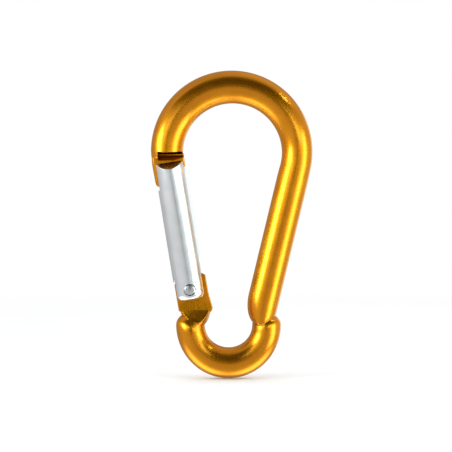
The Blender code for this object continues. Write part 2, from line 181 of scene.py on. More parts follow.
# ---------------------------------------------------------------------------- mesh helpers
def mesh_object(name, points, faces):
    """A closed mesh from points in mm, with its normals facing out."""
    mesh = bpy.data.meshes.new(name)
    mesh.from_pydata([Vector(p) * MM for p in points], [], faces)
    shape = bmesh.new()
    shape.from_mesh(mesh)
    bmesh.ops.recalc_face_normals(shape, faces=shape.faces)
    shape.to_mesh(mesh)
    shape.free()
    obj = bpy.data.objects.new(name, mesh)
    bpy.context.scene.collection.objects.link(obj)
    return obj


def loft(name, rings, start_tip=None, end_tip=None):
    """Joins rings of points into one closed skin. An end closes on its tip, or on a flat cap."""
    count = len(rings[0])
    points = [p for ring in rings for p in ring]
    faces = []
    for i in range(len(rings) - 1):
        for k in range(count):
            nxt = (k + 1) % count
            faces.append((i * count + k, i * count + nxt,
                          (i + 1) * count + nxt, (i + 1) * count + k))
    for tip, ring_start in ((start_tip, 0), (end_tip, (len(rings) - 1) * count)):
        ids = [ring_start + k for k in range(count)]
        if tip is None:
            faces.append(tuple(ids))
            continue
        points.append(tip)
        faces += [(ids[k], ids[(k + 1) % count], len(points) - 1) for k in range(count)]
    return mesh_object(name, points, faces)


def bar_ring(centre, across, half, half_y, skew=0.0):
    """One elliptical section of bar. skew moves its crest outwards, as a share of half."""
    ring = []
    for k in range(BAR_SIDES):
        angle = 2 * math.pi * (k + 0.5) / BAR_SIDES
        in_plane = half * (math.cos(angle) + skew * math.sin(angle) ** 2)
        ring.append((centre[0] + across[0] * in_plane, half_y * math.sin(angle),
                     centre[1] + across[1] * in_plane))
    return ring


def dome_shares(steps):
    """(share of the dome's length, share of its radius) from its start to just before its tip."""
    angles = [0.5 * math.pi * i / steps for i in range(1, steps)]
    return [(math.sin(a), math.cos(a)) for a in angles]


def latch_point(t, y, s):
    c, n = math.cos(LATCH_LEAN), math.sin(LATCH_LEAN)
    return (PIVOT[0] + t * c - s * n, y, PIVOT[1] + t * n + s * c)


def turned(name, stations, sides, place, turn=0.0):
    """A turned part: stations are (distance along the axis, radius), and radius 0 closes an end."""
    stations = list(stations)
    start_tip = place(0, 0, stations.pop(0)[0]) if stations[0][1] == 0 else None
    end_tip = place(0, 0, stations.pop()[0]) if stations[-1][1] == 0 else None
    angles = [2 * math.pi * (k + turn) / sides for k in range(sides)]
    rings = [[place(r * math.cos(a), r * math.sin(a), along) for a in angles]
             for along, r in stations]
    return loft(name, rings, start_tip, end_tip)


def rod(name, stations, sides, turn=0.0):
    """A part turned about the latch's long axis."""
    return turned(name, stations, sides, latch_point, turn)


def cross_pin(name, stations, sides=PIN_SIDES):
    """A part turned about the pivot's axis, which runs along Y."""
    return turned(name, stations, sides,
                  lambda x, z, y: (PIVOT[0] + x, y, PIVOT[1] + z))


def arc_stations(centre, corner_radius, from_angle, to_angle, steps):
    """(along, radius) points of a rounded corner of a turned part."""
    points = []
    for i in range(steps + 1):
        angle = from_angle + (to_angle - from_angle) * i / steps
        points.append((centre[0] + corner_radius * math.sin(angle),
                       centre[1] + corner_radius * math.cos(angle)))
    return points


def subdivided(outline, step):
    """The closed outline with extra points, so that none of its edges is longer than step."""
    points = []
    for here, after in zip(outline, outline[1:] + outline[:1]):
        count = max(1, math.ceil(math.dist(here, after) / step))
        for i in range(count):
            points.append((here[0] + (after[0] - here[0]) * i / count,
                           here[1] + (after[1] - here[1]) * i / count))
    return points


def inset(outline, distances):
    """The closed (t, s) outline moved inwards, each corner by its own distance."""
    area = sum(a[0] * b[1] - b[0] * a[1] for a, b in zip(outline, outline[1:] + outline[:1]))
    turn = 1.0 if area > 0 else -1.0
    moved = []
    for before, here, after, distance in zip(outline[-1:] + outline[:-1], outline,
                                             outline[1:] + outline[:1], distances):
        first = Vector((here[0] - before[0], here[1] - before[1])).normalized()
        second = Vector((after[0] - here[0], after[1] - here[1])).normalized()
        middle = (first + second).normalized()
        inward = Vector((-middle.y, middle.x)) * turn
        stretch = max(0.5, abs(inward.dot(Vector((-first.y, first.x)))))
        moved.append((here[0] + inward.x * distance / stretch,
                      here[1] + inward.y * distance / stretch))
    return moved


def latch_plate(name, outline, half_y, rim=None, steps=6):
    """A plate of the given (t, s) outline, half_y to each side.

    rim, where given, tells how far in and how deep its rim is rounded over at a given t."""
    if rim is None:
        return loft(name, [[latch_point(t, side * half_y, s) for t, s in outline]
                           for side in (-1, 1)])
    outline = subdivided(outline, 0.4)
    rims = [rim(t) for t, _ in outline]
    rings = []
    for side, order in ((-1, range(steps, -1, -1)), (1, range(steps + 1))):
        for i in order:
            angle = 0.5 * math.pi * i / steps
            shape = inset(outline, [wide * (1 - math.cos(angle)) for wide, _ in rims])
            rings.append([latch_point(t, side * (half_y - deep * (1 - math.sin(angle))), s)
                          for (t, s), (_, deep) in zip(shape, rims)])
    return loft(name, rings)


def prism(name, first, last):
    return loft(name, [first, last])


def boolean(target, other, operation):
    modifier = target.modifiers.new(operation.lower(), "BOOLEAN")
    modifier.operation = operation
    modifier.solver = "EXACT"
    modifier.object = other
    graph = bpy.context.evaluated_depsgraph_get()
    mesh = bpy.data.meshes.new_from_object(target.evaluated_get(graph))
    target.modifiers.clear()
    target.data = mesh
    bpy.data.objects.remove(other)


def join(target, *others):
    for other in others:
        boolean(target, other, "UNION")


def cut(target, *others):
    for other in others:
        boolean(target, other, "DIFFERENCE")


def clean(obj, sharp_degrees=28):
    """Merges slivers, shades the piece smooth and marks its machined edges sharp."""
    shape = bmesh.new()
    shape.from_mesh(obj.data)
    bmesh.ops.dissolve_degenerate(shape, dist=2e-6, edges=shape.edges)
    limit = math.radians(sharp_degrees)
    for face in shape.faces:
        face.smooth = True
    for edge in shape.edges:
        edge.smooth = edge.calc_face_angle(0.0) < limit
    shape.to_mesh(obj.data)
    shape.free()


# ---------------------------------------------------------------------------- hook body
def bend_and_arm():
    cx, cz = BEND_CENTRE
    rings = []
    for i in range(BEND_STEPS + 1):
        angle = math.pi - (ARM_LEAN + math.pi) * i / BEND_STEPS
        out = (math.cos(angle), math.sin(angle))
        half = BEND_HALF - BEND_TAPER * out[0] + BEND_SWELL * max(0.0, out[1])
        centre = (cx + BEND_RADIUS * out[0], cz + BEND_RADIUS * out[1])
        rings.append(bar_ring(centre, out, half, BAR_HALF_Y, CREST_SKEW))
    rings[0] = [(x, y, z + BAR_END_RISE - BAR_END_DIP * (y / BAR_HALF_Y) ** 2)
                for x, y, z in rings[0]]
    nose_end = (cx - BEND_RADIUS, 0.0, cz + BAR_END_RISE)
    out = (math.cos(ARM_LEAN), -math.sin(ARM_LEAN))
    down = (-math.sin(ARM_LEAN), -math.cos(ARM_LEAN))
    top = (cx + BEND_RADIUS * out[0], cz + BEND_RADIUS * out[1])
    length = (top[1] - ARM_TIP_Z) / math.cos(ARM_LEAN)
    straight = length - ARM_DOME
    stations = [(straight * i / 12, 1.0, 1.0) for i in range(1, 13)]
    for share, inner in dome_shares(DOME_STEPS):
        past = max(0.0, 1 - (1 - share) * ARM_DOME / ARM_OUTER_DOME)
        stations.append((straight + ARM_DOME * share, inner, (1 - past ** 3) ** (1 / 3)))
    for along, inner, outer in stations:
        shift = ARM_HALF * (outer - inner) / 2
        centre = (top[0] + down[0] * along + out[0] * shift,
                  top[1] + down[1] * along + out[1] * shift)
        rings.append(bar_ring(centre, out, ARM_HALF * (inner + outer) / 2,
                              BAR_HALF_Y * outer ** BLUNTNESS, CREST_SKEW))
    tip = (top[0] + down[0] * length, 0.0, top[1] + down[1] * length)
    return loft("hook", rings, start_tip=nose_end, end_tip=tip)


def eye_half_y(z, end):
    start, length = EYE_THINNING[end]
    past = max(0.0, z - start) / length
    return EYE_HALF_Y * math.sqrt(1 - past * past)


def eye():
    cx, cz = EYE_CENTRE
    stations = []
    for along, share in reversed(dome_shares(14)):
        stations.append((math.pi, EYE_END[0] * along, share, 0))
    stations += [(math.pi * (1 + i / EYE_STEPS), 0.0, 1.0, 0 if 2 * i < EYE_STEPS else 1)
                 for i in range(EYE_STEPS + 1)]
    for along, share in dome_shares(14):
        stations.append((2 * math.pi, EYE_END[1] * along, share, 1))
    rings = []
    for angle, rise, share, end in stations:
        out = (math.cos(angle), math.sin(angle))
        half = (EYE_HALF + EYE_SWELL * math.sin(angle) ** 2) * share
        centre = (cx + EYE_RADIUS * out[0], cz + EYE_RADIUS * out[1] + rise)
        rings.append(bar_ring(centre, out, half, eye_half_y(centre[1], end) * share ** BLUNTNESS))
    start = (cx - EYE_RADIUS, 0.0, cz + EYE_END[0])
    end = (cx + EYE_RADIUS, 0.0, cz + EYE_END[1])
    return loft("eye", rings, start_tip=start, end_tip=end)


def neck():
    across = (math.cos(LATCH_LEAN), math.sin(LATCH_LEAN))
    stations = [(NECK_TOP_S, 1.0), (NECK_DOME_S, 1.0)]
    stations += [(NECK_DOME_S - NECK_DOME * a, share) for a, share in dome_shares(DOME_STEPS)]
    rings = []
    for s, share in stations:
        x, _, z = latch_point(NECK_T, 0, s)
        half_y = BAR_HALF_Y * 0.985 * share ** NECK_BLUNTNESS
        rings.append(bar_ring((x, z), across, NECK_HALF * share, half_y))
    return loft("neck", rings, end_tip=latch_point(NECK_T, 0, NECK_DOME_S - NECK_DOME))


def flat_and_ramp(side):
    inner = TONGUE_HALF_Y - 0.03
    far = 8.0
    slope = (RAMP_TOP_Z - RAMP_FOOT_Z) / (RAMP_FOOT_Y - TONGUE_HALF_Y)
    outline = [(inner, 0.0), (far, 0.0), (far, RAMP_TOP_Z - slope * (far - inner)),
               (inner, RAMP_TOP_Z)]
    return prism("mill", *[[(x, side * y, z) for y, z in outline] for x in (-16.0, 0.5)])


def cam_outline():
    """The top of the pivot tongue, from its outer side to the inner corner, with its cam."""
    points = [(-2.82, 1.45), (-0.35, 2.06)]
    steps = 24
    rest = PLUNGER_TIP_S + PLUNGER_RADIUS
    for i in range(steps + 1):
        angle = (OPEN_ANGLE + math.radians(1.0)) * i / steps
        reach = rest + CAM_RISE * angle
        t, s = reach * math.sin(angle), reach * math.cos(angle)
        run_t = reach * math.cos(angle) + CAM_RISE * math.sin(angle)
        run_s = -reach * math.sin(angle) + CAM_RISE * math.cos(angle)
        length = math.hypot(run_t, run_s)
        depth = PLUNGER_RADIUS + CAM_GAP
        points.append((t + depth * run_s / length, s - depth * run_t / length))
    return points


def pivot_tongue():
    outline = cam_outline()
    outline += [(3.22, 2.42), (3.33, 2.36), (3.40, 2.22), (3.41, 0.5), (3.42, -1.10),
                (3.50, -2.00), (3.60, -2.76), (3.70, -3.40), (3.77, -4.00), (3.74, -4.45),
                (3.45, -4.85), (2.20, -5.20), (-1.20, -4.60), (-2.45, -4.10), (-2.80, -3.75)]
    return latch_plate("pivot_tongue", outline, TONGUE_HALF_Y,
                       lambda t: (TONGUE_ROUNDING, TONGUE_ROUNDING))


def shoulder():
    """The outer side of the bar, which runs on below the milled step and ends in a round corner."""
    half = BEND_HALF + BEND_TAPER
    start = SHOULDER_FOOT_Z + SHOULDER_DOME
    stations = [(BEND_CENTRE[1] + BAR_END_RISE + 0.3, 1.0)]
    stations += [(start - SHOULDER_DOME * a, share) for a, share in [(0.0, 1.0)] + dome_shares(16)]
    rings = []
    for z, share in stations:
        x = BEND_CENTRE[0] - BEND_RADIUS + SHOULDER_DRIFT * (BEND_CENTRE[1] - z)
        rings.append(bar_ring((x, z), (-1.0, 0.0), (half - SHOULDER_SINK) * share,
                              (BAR_HALF_Y - SHOULDER_SINK) * share))
    skin = loft("shoulder", rings)
    wall = [[(SHOULDER_X, side * 4.0, z), (-6.0, side * 4.0, z)] for z in (8.0, 18.0)
            for side in (-1, 1)]
    cut(skin, prism("wall", wall[0] + wall[1][::-1], wall[2] + wall[3][::-1]))
    return skin


def nose_rim(t):
    """The nose tongue's rim: a small round, but on the outer side what is left of the round bar."""
    small_t, bar_t = NOSE_RIM_CHANGE
    share = min(1.0, max(0.0, (t - small_t) / (bar_t - small_t)))
    return tuple(small + share * (bar - small) for small, bar in zip(NOSE_RIM, NOSE_OUTER_RIM))


def nose_tongue():
    outline = [(2.70, 23.72), (2.94, 23.95), (3.02, 24.30), (2.98, 25.60), (3.06, 26.30),
               (2.85, 26.75), (2.10, 27.60), (-1.50, 28.40), (-2.70, 28.30), (-3.12, 27.90),
               (-3.20, 27.00), (-3.25, 26.40), (-3.33, 25.80), (-3.37, 25.20), (-3.36, 24.00),
               (-3.32, 22.80), (-3.30, 21.65), (-3.22, 21.15), (-3.02, 20.80), (-2.75, 20.72)]
    return latch_plate("nose_tongue", outline, NOSE_HALF_Y, nose_rim)


def upper_groove(side):
    top, foot = UPPER_GROOVE_Z
    deep = NOSE_HALF_Y - GROOVE_DEPTH
    slope = (top - foot) / GROOVE_DEPTH
    far = NOSE_HALF_Y + 0.6
    outline = [(deep, top), (far, top), (far, foot - slope * 0.6)]
    return prism("upper_groove", *[[(x, side * y, z) for y, z in outline]
                                   for x in (UPPER_GROOVE_X, -7.5)])


def lower_groove(side):
    deep = side * (NOSE_HALF_Y - GROOVE_DEPTH)
    out = side * (NOSE_HALF_Y + 0.5)
    ends = []
    for t in (GROOVE_END_T, 4.0):
        foot = latch_point(t, 0, LOWER_GROOVE_FOOT_S)
        rise = (LOWER_GROOVE_TOP_Z - foot[2]) / math.cos(LATCH_LEAN)
        top_s = LOWER_GROOVE_FOOT_S + rise
        root_s = LOWER_GROOVE_FOOT_S + rise * 0.86
        ends.append([latch_point(t, deep, root_s),
                     latch_point(t, out, 2 * top_s - root_s),
                     latch_point(t, out, 2 * LOWER_GROOVE_FOOT_S - root_s)])
    return prism("lower_groove", *ends)


def pivot_hole():
    radius = RIVET_RADIUS + RIVET_CLEARANCE
    return cross_pin("hole", [(-5.0, radius), (5.0, radius)])


def make_hook():
    lower = eye()
    join(lower, neck())
    cut(lower, flat_and_ramp(-1), flat_and_ramp(1))
    join(lower, pivot_tongue())
    cut(lower, pivot_hole())
    body = bend_and_arm()
    nose = nose_tongue()
    join(body, nose)
    for side in (-1, 1):
        cut(body, upper_groove(side), lower_groove(side))
    join(body, shoulder())
    join(body, lower)
    clean(body)
    return body


# ---------------------------------------------------------------------------- latch
def saw_arc(first, last, sagitta, steps=40):
    """Points on the round end that a disc saw leaves between two (t, s) points."""
    (t0, s0), (t1, s1) = first, last
    chord = math.hypot(t1 - t0, s1 - s0)
    across = ((s0 - s1) / chord, (t1 - t0) / chord)
    points = []
    for i in range(steps + 1):
        share = i / steps
        bulge = 4 * sagitta * share * (1 - share)
        points.append((t0 + (t1 - t0) * share + across[0] * bulge,
                       s0 + (s1 - s0) * share + across[1] * bulge))
    return points


def slot_cutter(name, ends, sagitta, open_s):
    (t0, s0), (t1, s1) = ends
    slope = (s1 - s0) / (t1 - t0)
    outline = saw_arc(*ends, sagitta)
    outline += [(t1 + 1.5, s1 + 1.5 * slope), (t1 + 1.5, open_s), (t0 - 1.5, open_s),
                (t0 - 1.5, s0 - 1.5 * slope)]
    return latch_plate(name, outline, SLOT_HALF_Y)


def bevel_cutter(side):
    inner = SLOT_HALF_Y
    slope = (LATCH_TOP_S - BEVEL_FOOT_S) / (LATCH_RADIUS - inner)
    far = 5.0
    outline = [(inner, LATCH_TOP_S), (far, LATCH_TOP_S - slope * (far - inner)),
               (far, LATCH_TOP_S + 3), (inner - 0.6, LATCH_TOP_S + 0.6 * slope)]
    return prism("bevel", *[[latch_point(t, side * y, s) for y, s in outline]
                            for t in (-5.0, 5.0)])


def make_gate():
    stations = arc_stations((LATCH_BOTTOM_S + BOTTOM_ROUNDING, LATCH_RADIUS - BOTTOM_ROUNDING),
                            BOTTOM_ROUNDING, -0.5 * math.pi, 0.0, 14)
    stations += [(s, LATCH_RADIUS) for s in range(1, 24)]
    stations += arc_stations((LATCH_TOP_S - TOP_ROUNDING, LATCH_RADIUS - TOP_ROUNDING),
                             TOP_ROUNDING, 0.0, 0.5 * math.pi, 8)
    gate = rod("latch", stations, LATCH_SIDES, turn=0.5)
    cut(gate, bevel_cutter(-1), bevel_cutter(1))
    cut(gate, slot_cutter("upper_slot", UPPER_SLOT, -CUTTER_SAGITTA, LATCH_TOP_S + 3))
    cut(gate, slot_cutter("lower_slot", LOWER_SLOT, CUTTER_SAGITTA, LATCH_BOTTOM_S - 3))
    bore = [(1.5, BORE_RADIUS), (BORE_END_S, BORE_RADIUS), (BORE_END_S + 0.7, 0)]
    cut(gate, rod("bore", bore, PIN_SIDES))
    cut(gate, pivot_hole())
    clean(gate)
    return gate


def make_rivet():
    half = [(RIVET_EDGE_Y + RIVET_DOME * math.cos(0.5 * math.pi * i / 12),
             RIVET_RADIUS * math.sin(0.5 * math.pi * i / 12)) for i in range(13)]
    stations = [(-y, radius) for y, radius in half] + list(reversed(half))
    rivet = cross_pin("rivet", stations)
    clean(rivet, 60)
    return rivet


def make_plunger():
    centre = PLUNGER_TIP_S + PLUNGER_RADIUS
    stations = [(centre - PLUNGER_RADIUS * math.cos(0.5 * math.pi * i / 14),
                 PLUNGER_RADIUS * math.sin(0.5 * math.pi * i / 14)) for i in range(15)]
    stations += [
        (PLUNGER_SHOULDER_S - 0.12, PLUNGER_RADIUS),
        (PLUNGER_SHOULDER_S, PLUNGER_RADIUS - 0.12),
        (PLUNGER_SHOULDER_S, PLUNGER_STEM_RADIUS),
        (PLUNGER_STEM_END_S - 0.1, PLUNGER_STEM_RADIUS),
        (PLUNGER_STEM_END_S, PLUNGER_STEM_RADIUS - 0.1),
    ]
    plunger = rod("plunger", stations, 48)
    clean(plunger, 40)
    return plunger


def make_spring():
    first = PLUNGER_SHOULDER_S + SPRING_GAP + SPRING_WIRE
    last = BORE_END_S - SPRING_GAP - SPRING_WIRE
    close_turn = 2.3 * SPRING_WIRE
    pitch = (last - first - 2 * close_turn) / (SPRING_TURNS - 2)
    rings = []
    for i in range(SPRING_TURNS * STEPS_PER_TURN + 1):
        turns = i / STEPS_PER_TURN
        if turns < 1:
            s, lead = first + close_turn * turns, close_turn
        elif turns > SPRING_TURNS - 1:
            s, lead = last - close_turn * (SPRING_TURNS - turns), close_turn
        else:
            s, lead = first + close_turn + pitch * (turns - 1), pitch
        angle = 2 * math.pi * turns
        tilt = math.atan2(lead, 2 * math.pi * SPRING_RADIUS)
        ring = []
        for k in range(WIRE_SIDES):
            around = 2 * math.pi * (k + 0.5) / WIRE_SIDES
            reach = SPRING_RADIUS + SPRING_WIRE * math.cos(around)
            up = SPRING_WIRE * math.sin(around)
            t = reach * math.cos(angle) + up * math.sin(tilt) * math.sin(angle)
            y = reach * math.sin(angle) - up * math.sin(tilt) * math.cos(angle)
            ring.append(latch_point(t, y, s + up * math.cos(tilt)))
        rings.append(ring)
    spring = loft("spring", rings)
    clean(spring, 60)
    return spring


# ---------------------------------------------------------------------------- grain of the metal
EYE_GRAIN_TOP_Z = EYE_CENTRE[1] + 3.0
NECK_SIDE_X = -1.0            # the neck and the pivot tongue are on this side, the arm on the other
EYE_GRAIN_START = 80.0        # distance along the bar at which the eye's drawing lines start


def latch_grain(x, z):
    """(distance along the latch, distance across it, its direction) at a point of the hook."""
    c, n = math.cos(LATCH_LEAN), math.sin(LATCH_LEAN)
    px, pz = x - PIVOT[0], z - PIVOT[1]
    return -px * n + pz * c, px * c + pz * n, (-n, c)


def body_grain(x, z):
    """(distance along the bar, distance across it, direction of the bar) at a point of the hook."""
    dx, dz = x - BEND_CENTRE[0], z - BEND_CENTRE[1]
    angle = math.atan2(dz, dx)
    down = (-math.sin(ARM_LEAN), -math.cos(ARM_LEAN))
    from_start = math.pi - angle if angle > -0.75 * math.pi else -math.pi - angle
    if angle >= -ARM_LEAN and (dz >= 0 or dx > 0):
        return BEND_RADIUS * from_start, math.hypot(dx, dz) - BEND_RADIUS, \
            (math.sin(angle), -math.cos(angle))
    top_x = BEND_CENTRE[0] + BEND_RADIUS * math.cos(ARM_LEAN)
    top_z = BEND_CENTRE[1] - BEND_RADIUS * math.sin(ARM_LEAN)
    ax, az = x - top_x, z - top_z
    along = ax * down[0] + az * down[1]
    across = ax * -down[1] + az * down[0]
    if abs(across) < ARM_HALF * 1.05 and z > EYE_GRAIN_TOP_Z:
        return BEND_RADIUS * (math.pi + ARM_LEAN) + along, across, down
    if z < EYE_GRAIN_TOP_Z and not (z > RAMP_FOOT_Z and x < NECK_SIDE_X):
        ex, ez = x - EYE_CENTRE[0], min(z - EYE_CENTRE[1], 0.0)
        angle = math.atan2(ez, ex)
        if angle > 0.5 * math.pi:
            angle -= 2 * math.pi
        return EYE_GRAIN_START - EYE_RADIUS * angle, math.hypot(ex, ez) - EYE_RADIUS, \
            (math.sin(angle), -math.cos(angle))
    return latch_grain(x, z)


def store_grain(obj, grain):
    """Gives each point its place along and across the bar, in mm, and the bar's direction there."""
    mesh = obj.data
    places, directions = [], []
    for vertex in mesh.vertices:
        x, y, z = vertex.co / MM
        along, across, direction = grain(x, z)
        places += [along, across, y]
        directions += [direction[0], 0.0, direction[1]]
    for name, values in (("place", places), ("grain", directions)):
        attribute = mesh.attributes.new(name, "FLOAT_VECTOR", "POINT")
        attribute.data.foreach_set("vector", values)


# ---------------------------------------------------------------------------- materials
class Nodes:
    """Short calls to add and link the nodes of one tree."""

    def __init__(self, name):
        self.material = bpy.data.materials.new(name)
        self.material.use_nodes = True
        self.tree = self.material.node_tree
        self.surface = self.tree.nodes["Principled BSDF"]

    @classmethod
    def of(cls, tree):
        nodes = cls.__new__(cls)
        nodes.tree = tree
        return nodes

    def add(self, kind, inputs=None, **settings):
        node = self.tree.nodes.new("ShaderNode" + kind)
        for key, value in settings.items():
            setattr(node, key, value)
        for key, value in (inputs or {}).items():
            self.set(node.inputs[key], value)
        return node

    def set(self, socket, value):
        if isinstance(value, bpy.types.NodeSocket):
            self.tree.links.new(value, socket)
        else:
            socket.default_value = value

    def maths(self, operation, first, second=0.0):
        return self.add("Math", {0: first, 1: second}, operation=operation).outputs[0]

    def vector(self, operation, first, second=(0.0, 0.0, 0.0)):
        node = self.add("VectorMath", {0: first, 1: second}, operation=operation)
        return node.outputs["Vector"]

    def dot(self, first, second):
        node = self.add("VectorMath", {0: first, 1: second}, operation="DOT_PRODUCT")
        return node.outputs["Value"]

    def attribute(self, name):
        return self.add("Attribute", attribute_name=name).outputs["Vector"]

    def noise(self, place, waves, detail, roughness=0.6):
        """Noise with the given number of waves in each unit of length along each axis."""
        scaled = self.vector("MULTIPLY", place, waves)
        node = self.add("TexNoise", {"Vector": scaled, "Scale": 1.0, "Detail": detail,
                                     "Roughness": roughness})
        return node.outputs["Fac"]

    def remap(self, value, low, high, to_low=0.0, to_high=1.0):
        node = self.add("MapRange", {"Value": value, "From Min": low, "From Max": high,
                                     "To Min": to_low, "To Max": to_high})
        return node.outputs["Result"]

    def smooth(self, value, low, high, to_low=0.0, to_high=1.0):
        node = self.add("MapRange", {"Value": value, "From Min": low, "From Max": high,
                                     "To Min": to_low, "To Max": to_high},
                        interpolation_type="SMOOTHSTEP")
        return node.outputs["Result"]

    def blend(self, share, first, second):
        node = self.add("Mix", {0: share, 2: first, 3: second}, data_type="FLOAT")
        return node.outputs[0]

    def mix(self, share, first, second):
        node = self.add("Mix", data_type="RGBA")
        self.set(node.inputs[0], share)
        self.set(node.inputs[6], first)
        self.set(node.inputs[7], second)
        return node.outputs[2]


def metal(name, base, lit, roughness, spread, line_depth, tumble, edge_colour, edge_share,
          painted_shade_colour=(0.10, 0.09, 0.08, 1), painted_shade_gap=(0.0015, 0.80, 0.50)):
    """A metal with drawing lines along the bar, faint blotches, fine dings, worn edges and painted
    shade.

    base and lit are the colours that the blotches run between. spread is how much wider the gloss
    is across the drawing lines than along them. line_depth and tumble are the heights of the
    drawing lines and of the dings, in hundredths of a mm. The last two arguments paint shade where
    ambient occlusion finds it. The first is the colour that gaps, hollows and faces looking into
    the hook are darkened towards. The second is how far narrow gaps are felt in metres, the
    openness at which the painted shade starts, and how dark it gets.
    """
    gap_reach, gap_open, gap_share = painted_shade_gap
    n = Nodes(name)
    place = n.attribute("place")
    lines = n.noise(place, (0.10, 6.0, 6.0), 2.0)
    streaks = n.noise(place, (0.05, 2.2, 2.2), 2.0, 0.5)
    blotches = n.noise(place, (0.35, 0.35, 0.35), 3.0, 0.55)
    grit = n.noise(place, (14.0, 14.0, 14.0), 2.0, 0.5)

    colour = n.mix(n.remap(blotches, 0.3, 0.7), base, lit)
    normal = n.add("NewGeometry").outputs["Normal"]
    rounded = n.add("Bevel", {"Radius": 0.00016}, samples=6).outputs["Normal"]
    edge = n.remap(n.dot(normal, rounded), 0.995, 0.90)
    worn = n.maths("MULTIPLY", edge, n.remap(grit, 0.35, 0.65, 0.2, 1.0))
    colour = n.mix(n.maths("MULTIPLY", worn, edge_share), colour, edge_colour)
    near_edge = n.remap(n.dot(normal, rounded), 0.999, 0.99)
    step = n.vector("SUBTRACT", rounded, normal)
    step = n.add("VectorMath", {0: step, 3: near_edge}, operation="SCALE").outputs["Vector"]
    softened = n.vector("NORMALIZE", n.vector("ADD", normal, step))
    # Painted shade: ambient occlusion darkens the colour towards the painted shade colour. It is
    # strong in narrow gaps and grooves and weaker on inner faces that see other parts of the hook.
    narrow = n.add("AmbientOcclusion", {"Distance": gap_reach}, samples=8).outputs["AO"]
    wide = n.add("AmbientOcclusion", {"Distance": 0.014}, samples=8, only_local=True).outputs["AO"]
    shaded = n.mix(n.smooth(narrow, 0.15, gap_open, gap_share, 0.0), colour, painted_shade_colour)
    shaded = n.mix(n.smooth(wide, 0.45, 0.85, 0.75, 0.0), shaded, painted_shade_colour)
    n.set(n.surface.inputs["Base Color"], shaded)
    n.set(n.surface.inputs["Metallic"], 1.0)

    varied = n.remap(streaks, 0.3, 0.7, roughness * 0.88, roughness * 1.12)
    varied = n.maths("ADD", varied, n.remap(blotches, 0.3, 0.7, -0.015, 0.02))
    varied = n.maths("ADD", varied, n.maths("MULTIPLY", worn, 0.08))
    n.set(n.surface.inputs["Roughness"], varied)

    grain = n.add("VectorTransform", {"Vector": n.attribute("grain")}, vector_type="VECTOR",
                  convert_from="OBJECT", convert_to="WORLD").outputs["Vector"]
    around = n.vector("CROSS_PRODUCT", normal, grain)
    n.set(n.surface.inputs["Anisotropic"], spread)
    n.set(n.surface.inputs["Tangent"], around)

    height = n.maths("MULTIPLY", lines, line_depth)
    height = n.maths("ADD", height, n.maths("MULTIPLY", grit, tumble))
    bump = n.add("Bump", {"Height": height, "Strength": 1.0, "Distance": 0.00001,
                          "Normal": softened})
    n.set(n.surface.inputs["Normal"], bump.outputs["Normal"])
    return n


def gold_anodised():
    n = metal("gold_anodised", base=(0.77, 0.264, 0.001, 1), lit=(0.83, 0.300, 0.003, 1),
              roughness=0.26, spread=0.70, line_depth=0.03, tumble=0.004,
              edge_colour=(0.92, 0.50, 0.12, 1), edge_share=0.35,
              # painted shade: a dark reddish brown, like the gold seen in shadow
              painted_shade_colour=(0.12, 0.035, 0.001, 1))
    n.set(n.surface.inputs["Specular Tint"], (1.0, 0.85, 0.65, 1))
    n.set(n.surface.inputs["Coat Weight"], 0.30)
    n.set(n.surface.inputs["Coat Roughness"], 0.12)
    n.set(n.surface.inputs["Coat IOR"], 1.55)
    return n.material


def polished_aluminium():
    n = metal("polished_aluminium", base=(0.80, 0.82, 0.84, 1), lit=(0.88, 0.89, 0.90, 1),
              roughness=0.22, spread=0.80, line_depth=0.06, tumble=0.012,
              edge_colour=(0.95, 0.95, 0.95, 1), edge_share=0.5,
              # painted shade: brownish, felt further out and starting sooner than on the gold
              painted_shade_colour=(0.09, 0.045, 0.03, 1), painted_shade_gap=(0.0035, 0.97, 0.90))
    return n.material


def rivet_aluminium():
    n = metal("rivet_aluminium", base=(0.60, 0.62, 0.64, 1), lit=(0.70, 0.71, 0.73, 1),
              roughness=0.28, spread=0.0, line_depth=0.0, tumble=0.25,
              edge_colour=(0.85, 0.85, 0.85, 1), edge_share=0.5)
    return n.material


def bright_steel(name, roughness):
    n = metal(name, base=(0.50, 0.50, 0.51, 1), lit=(0.60, 0.60, 0.61, 1),
              roughness=roughness, spread=0.3, line_depth=0.10, tumble=0.08,
              edge_colour=(0.75, 0.75, 0.75, 1), edge_share=0.4)
    return n.material


# ---------------------------------------------------------------------------- pieces
def dress(obj, material, body, node, grain=latch_grain):
    """Gives a piece its grain and material and the body it rides on, and hides the imported node
    that it stands for.
    """
    store_grain(obj, grain)
    obj.data.materials.clear()
    obj.data.materials.append(material)
    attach(obj, body)
    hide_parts(node)


def make_pieces():
    dress(make_hook(), gold_anodised(), "body", "hook_body", body_grain)
    dress(make_gate(), polished_aluminium(), "gate", "gate")
    dress(make_rivet(), rivet_aluminium(), "gate", "pivot_rivet")
    dress(make_plunger(), bright_steel("plunger_steel", 0.3), "plunger", "spring_plunger")
    spring = make_spring()
    dress(spring, bright_steel("spring_steel", 0.25), "gate", "gate_spring")
    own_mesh(spring)


# ---------------------------------------------------------------------------- studio
FLOOR_Z = BODY_LOW.z * MM - 0.0001


